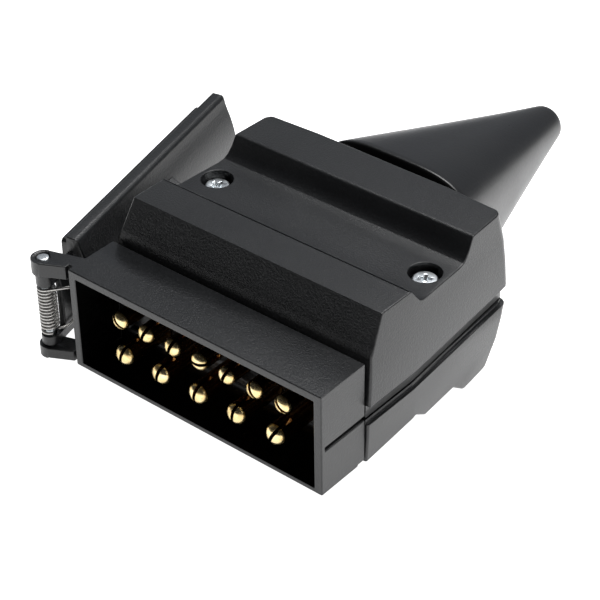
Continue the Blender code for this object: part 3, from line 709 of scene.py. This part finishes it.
def sweep(path, radius, sides=12):
    """A round wire along a list of points."""
    points = [Vector(point) for point in path]
    normal = Vector((0.0, 0.0, 1.0))
    rings = []
    for i, point in enumerate(points):
        ahead = points[min(i + 1, len(points) - 1)]
        behind = points[max(i - 1, 0)]
        tangent = (ahead - behind).normalized()
        normal = (normal - tangent * normal.dot(tangent)).normalized()
        side = tangent.cross(normal)
        turns = [2 * math.pi * k / sides for k in range(sides)]
        rings.append([point + radius * (normal * math.cos(t) + side * math.sin(t)) for t in turns])
    return ring_mesh(rings)


def on_cover(along, across, z):
    """A point beside the hinge, given along and across the shut cover, where it is with the cover open."""
    x = HINGE_X + along * math.cos(OPEN_TURN) - across * math.sin(OPEN_TURN)
    y = HINGE_Y + along * math.sin(OPEN_TURN) + across * math.cos(OPEN_TURN)
    return (x, y, z)


def helix(start, end, low, high):
    """Points round the hinge between two angles in degrees, rising from low to high."""
    steps = round((end - start) / 10)
    path = []
    for i in range(steps + 1):
        turn = math.radians(start + (end - start) * i / steps)
        path.append((
            HINGE_X + SPRING_RADIUS * math.cos(turn),
            HINGE_Y + SPRING_RADIUS * math.sin(turn),
            low + (high - low) * i / steps,
        ))
    return path


def hinge_spring(finish):
    """The torsion spring's coil and its leg into the nose's side."""
    path = helix(COIL_START, COIL_END, SPRING_LOW + 0.85, SPRING_HIGH)
    for x, y in ((-34.5, -8.46), (-34.1, -7.95), (-33.6, -7.62), (-33.0, -7.6), (-32.1, -7.6)):
        path.append((x, y, SPRING_HIGH))
    coil = sweep(path, COIL_WIRE)
    place_object("hinge_spring_coil", coil, finish, PLUG, "hinge_spring", 60)


def spring_leg(finish):
    """The spring's other end: a last turn under the coil and a leg that bears on the cover's web."""
    straight = ((7.2, -2.62), (3.6, -2.62), (2.6, -2.55), (1.9, -2.2))
    path = [on_cover(along, across, SPRING_LOW) for along, across in straight]
    path += helix(54, 330, SPRING_LOW, SPRING_LOW + 0.15)
    leg = sweep(path, LEG_WIRE)
    place_object("hinge_spring_leg", leg, finish, COVER, None, 60)


# ---------------------------------------------------------------- stage


def floor():
    """A pale floor that glows, fully near the plug and fading further out, as painted light. It leans, as
    the plug stands on its nose's bottom edge and its rear step.
    """
    material = Shader("pale_floor", (0.55, 0.55, 0.55), 0.8)
    paper = material.noise(3.0, 2.0)
    tone = material.ramp(paper, (0.3, (0.54, 0.54, 0.54)), (0.7, (0.56, 0.56, 0.56)))
    material.plug_in(tone, "Base Color")
    material.set("Emission Color", (1.0, 1.0, 1.0, 1.0))
    material.set("Specular IOR Level", 0.1)
    # Painted light: the glow is full near the plug and fades to a third of that further out.
    distance = material.add("ShaderNodeVectorMath", operation="LENGTH")
    material.link(material.position, distance.inputs[0])
    painted_glow = material.remap(distance.outputs["Value"], 0.2, 0.5, FLOOR_PAINTED_GLOW, 0.35 * FLOOR_PAINTED_GLOW)
    material.plug_in(painted_glow, "Emission Strength")
    slope = (FLOOR_LOW_Z - FLOOR_HIGH_Z) / (FLOOR_LOW_Y - FLOOR_HIGH_Y)
    middle = FLOOR_LOW_Z - slope * FLOOR_LOW_Y
    mesh = bmesh.new()
    corners = [(x * FLOOR_REACH, y * FLOOR_REACH) for x, y in ((-1, -1), (1, -1), (1, 1), (-1, 1))]
    mesh.faces.new([mesh.verts.new((x * MM, y * MM, (middle + slope * y) * MM)) for x, y in corners])
    data = bpy.data.meshes.new("floor")
    mesh.to_mesh(data)
    mesh.free()
    data.materials.append(material.material)
    plane = bpy.data.objects.new("floor", data)
    bpy.context.scene.collection.objects.link(plane)


def area_light(name, place, target, size, power):
    light = bpy.data.lights.new(name, "AREA")
    light.shape = "RECTANGLE"
    light.size, light.size_y = size
    light.energy = power
    holder = bpy.data.objects.new(name, light)
    bpy.context.scene.collection.objects.link(holder)
    holder.location = place
    holder.rotation_euler = (Vector(target) - Vector(place)).to_track_quat("-Z", "Y").to_euler()


def lighting():
    """A glowing white table in a studio that is dim in front and overhead, and brighter behind."""
    world = bpy.data.worlds.new("studio")
    bpy.context.scene.world = world
    world.use_nodes = True
    tree = world.node_tree
    background = tree.nodes["Background"]
    direction = tree.nodes.new("ShaderNodeTexCoord").outputs["Generated"]
    facing = tree.nodes.new("ShaderNodeVectorMath")
    facing.operation = "DOT_PRODUCT"
    facing.inputs[1].default_value = (-0.45, 0.8, 0.4)
    tree.links.new(direction, facing.inputs[0])
    ramp = tree.nodes.new("ShaderNodeValToRGB")
    tree.links.new(facing.outputs["Value"], ramp.inputs["Fac"])
    stops = ramp.color_ramp.elements
    stops[0].position = 0.25
    stops[0].color = (0.02, 0.02, 0.022, 1)
    stops[1].position = 0.8
    stops[1].color = (0.26, 0.275, 0.3, 1)
    tree.links.new(ramp.outputs["Color"], background.inputs["Color"])
    background.inputs["Strength"].default_value = 1.0
    area_light("overhead", place=(0.0, 0.33, 0.95), target=(0.0, 0.03, 0.0), size=(0.7, 0.7), power=13.0)
    area_light("side", place=(0.75, 0.15, 0.35), target=(0.0, 0.02, 0.0), size=(0.5, 0.4), power=2.5)


def camera():
    """The photograph's viewing angle, framed on the one plug."""
    data = bpy.data.cameras.new("camera")
    data.sensor_width = 36.0
    data.lens = 118.1
    data.shift_x = -0.0556
    data.shift_y = -0.037
    data.clip_start = 0.02
    data.clip_end = 20.0
    holder = bpy.data.objects.new("camera", data)
    bpy.context.scene.collection.objects.link(holder)
    azimuth, elevation, roll = (math.radians(v) for v in (39.29, 35.25, -0.32))
    back = Vector((
        math.sin(azimuth) * math.cos(elevation),
        -math.cos(azimuth) * math.cos(elevation),
        math.sin(elevation),
    ))
    right = Vector((math.cos(azimuth), math.sin(azimuth), 0.0))
    up = back.cross(right)
    rolled_right = math.cos(roll) * right + math.sin(roll) * up
    rolled_up = math.cos(roll) * up - math.sin(roll) * right
    turn = Matrix((rolled_right, rolled_up, back)).transposed()
    place = Matrix.Translation((0.21371, -0.23009, 0.23872))
    holder.matrix_world = place @ turn.to_4x4()
    bpy.context.scene.camera = holder


# ---------------------------------------------------------------- build

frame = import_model()

outer_plastic = textured_plastic()
inner_plastic = smooth_plastic()
mouth_shade_finish = mouth_plastic()
boot_rubber = soft_rubber("boot_rubber", 0.004, 0.33)
seal_rubber = soft_rubber("seal_rubber", 0.005, 0.43)
bright_brass = dome_brass()
zinc_plate = zinc()
wire = spring_steel()

softened("upper_shell", body_edges, 0.55, outer_plastic, 4)
softened("lower_shell", body_edges, 0.45, outer_plastic)
nose = softened("contact_carrier", nose_edges, 0.3, outer_plastic)
paint_mouth_shade(nose, mouth_shade_finish)
softened("cover", cover_edges, 0.4, outer_plastic)
softened("cover_seal", seal_edges, 0.3, seal_rubber)
contact_pins(bright_brass, shaded_shaft_brass())
for label, side in (("left", -1), ("right", 1)):
    pan_screw(
        f"housing_screw_{label}",
        centre=(side * SCREW_PLACE[0], SCREW_PLACE[1]),
        head=2.7,
        height=1.4,
        shank=1.4,
        seat=13.6,
        end=-8.6,
        turn=math.radians(20 * side + 8),
        finish=zinc_plate,
    )
    pan_screw(
        f"clamp_screw_{label}",
        centre=(side * CLAMP_SCREW_PLACE[0], CLAMP_SCREW_PLACE[1]),
        head=2.1,
        height=1.4,
        shank=1.1,
        seat=8.4,
        end=-3.6,
        turn=math.radians(35 * side),
        finish=zinc_plate,
    )
boot(boot_rubber)
hinge_pin(zinc_plate)
hinge_spring(wire)
spring_leg(wire)

for name, node in frame["nodes"].items():
    if name.startswith("terminal_screw"):
        node.data.materials.clear()
        node.data.materials.append(zinc_plate)
    elif name in ("retainer_plate", "cable_clamp"):
        node.data.materials.clear()
        node.data.materials.append(inner_plastic)

floor()
lighting()
camera()
bpy.context.scene.view_settings.view_transform = "Standard"
